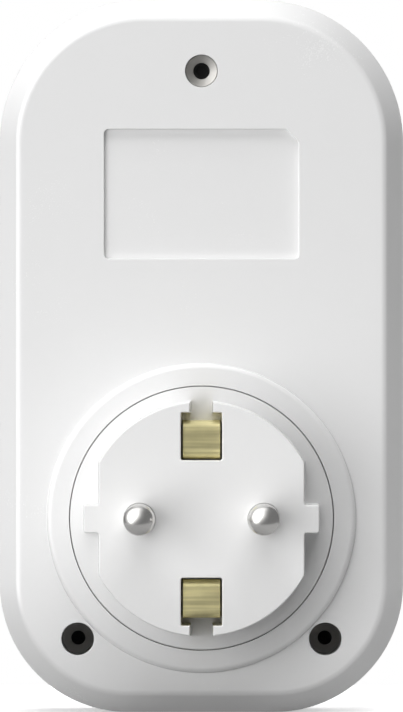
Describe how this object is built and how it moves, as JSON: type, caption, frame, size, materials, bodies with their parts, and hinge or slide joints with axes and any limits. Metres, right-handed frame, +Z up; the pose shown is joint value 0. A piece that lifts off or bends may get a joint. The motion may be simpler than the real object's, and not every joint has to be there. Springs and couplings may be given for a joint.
{
  "type": "plug in power meter",
  "caption": "Upright rounded plug in power meter: round earthed plug on the back, matching socket, display and buttons on the front.",
  "frame": {"origin": "centre of the plug's end face, on the plug's axis midway between the two pins", "axes": "-Y out of the plug's end face towards the wall, +Y towards the display and socket, +Z up the case, +X to the right when looking at the plug side"},
  "size_m": [0.062, 0.0802, 0.1095],
  "materials": {
    "case_plastic": "fine matt moulded",
    "insert_plastic": "satin moulded",
    "carrier_plastic": "satin moulded",
    "shutter_plastic": "satin moulded",
    "holder_plastic": "satin moulded",
    "button_plastic": "fine matt moulded",
    "plunger_plastic": "satin moulded",
    "switch_plastic": "satin moulded",
    "screw_steel": "zinc plated",
    "spring_steel": "drawn wire",
    "pin_plating": "satin nickel plated",
    "contact_brass": "rolled, fine lines along its width",
    "shunt_metal": "bare rolled resistance strip",
    "tinned_metal": "tin plated",
    "board_laminate": "glass laminate with green lacquer",
    "chip_resin": "fine matt moulded",
    "header_plastic": "satin moulded",
    "fuse_ceramic": "glazed tube with plated caps",
    "varistor_lacquer": "dipped lacquer",
    "film_cap_case": "moulded box",
    "can_sleeve": "shrunk sleeve",
    "resistor_lacquer": "dipped lacquer",
    "crystal_can": "drawn can",
    "cell_steel": "drawn cell",
    "lcd_glass": "polished, grey green",
    "lens_acrylic": "clear polished",
    "stripe_rubber": "striped silicone rubber"
  },
  "bodies": {
    "case": {"rear_casing": "case_plastic", "front_casing": "case_plastic", "plug_insert": "insert_plastic", "socket_insert": "insert_plastic", "contact_carrier": "carrier_plastic", "shutter_spring": "spring_steel", "case_screws": "screw_steel", "plug_screws": "screw_steel", "socket_screws": "screw_steel", "carrier_screws": "screw_steel", "board_screws": "screw_steel", "display_screws": "screw_steel", "live_pin": "pin_plating", "neutral_pin": "pin_plating", "plug_earth_upper": "contact_brass", "plug_earth_lower": "contact_brass", "earth_bridge": "contact_brass", "socket_earth_upper": "contact_brass", "socket_earth_lower": "contact_brass", "live_contact": "contact_brass", "neutral_contact": "contact_brass", "live_input_strip": "contact_brass", "neutral_input_strip": "contact_brass", "live_output_strip": "contact_brass", "neutral_output_strip": "contact_brass", "main_board": "board_laminate", "current_shunt": "shunt_metal", "fuse": "fuse_ceramic", "fuse_clips": "tinned_metal", "varistor": "varistor_lacquer", "film_capacitor": "film_cap_case", "smoothing_capacitor": "can_sleeve", "dropper_resistor": "resistor_lacquer", "bridge_rectifier": "chip_resin", "metering_chip": "chip_resin", "crystal": "crystal_can", "link_header": "header_plastic", "link_socket": "header_plastic", "display_board": "board_laminate", "microcontroller": "chip_resin", "backup_cell": "cell_steel", "tact_switches": "switch_plastic", "lcd_panel": "lcd_glass", "lcd_holder": "holder_plastic", "contact_rubbers": "stripe_rubber", "window_lens": "lens_acrylic"},
    "mode_button": {"button_mode": "button_plastic", "plunger_mode": "plunger_plastic"},
    "down_button": {"button_down": "button_plastic", "plunger_down": "plunger_plastic"},
    "up_button": {"button_up": "button_plastic", "plunger_up": "plunger_plastic"},
    "set_button": {"button_set": "button_plastic", "plunger_set": "plunger_plastic"},
    "reset_button": {"button_reset": "button_plastic", "plunger_reset": "plunger_plastic"},
    "shutter": {"shutter": "shutter_plastic"}
  },
  "joints": [
    {"name": "mode_press", "type": "slide", "parent": "case", "child": "mode_button", "axis": [0, -1, 0], "range_m": [0, 0.0006], "stiffness_N_per_m": 1200, "springref_m": -0.0004},
    {"name": "down_press", "type": "slide", "parent": "case", "child": "down_button", "axis": [0, -1, 0], "range_m": [0, 0.0006], "stiffness_N_per_m": 1200, "springref_m": -0.0004},
    {"name": "up_press", "type": "slide", "parent": "case", "child": "up_button", "axis": [0, -1, 0], "range_m": [0, 0.0006], "stiffness_N_per_m": 1200, "springref_m": -0.0004},
    {"name": "set_press", "type": "slide", "parent": "case", "child": "set_button", "axis": [0, -1, 0], "range_m": [0, 0.0006], "stiffness_N_per_m": 1200, "springref_m": -0.0004},
    {"name": "reset_press", "type": "slide", "parent": "case", "child": "reset_button", "axis": [0, -1, 0], "range_m": [0, 0.0006], "stiffness_N_per_m": 1200, "springref_m": -0.0004},
    {"name": "shutter_turn", "type": "hinge", "parent": "case", "child": "shutter", "pos_m": [0, 0.03935, 0], "axis": [0, 1, 0], "range_deg": [0, 40], "stiffness_Nm_per_rad": 0.01, "springref_deg": -17.19, "deforming": ["shutter_spring"]}
  ]
}
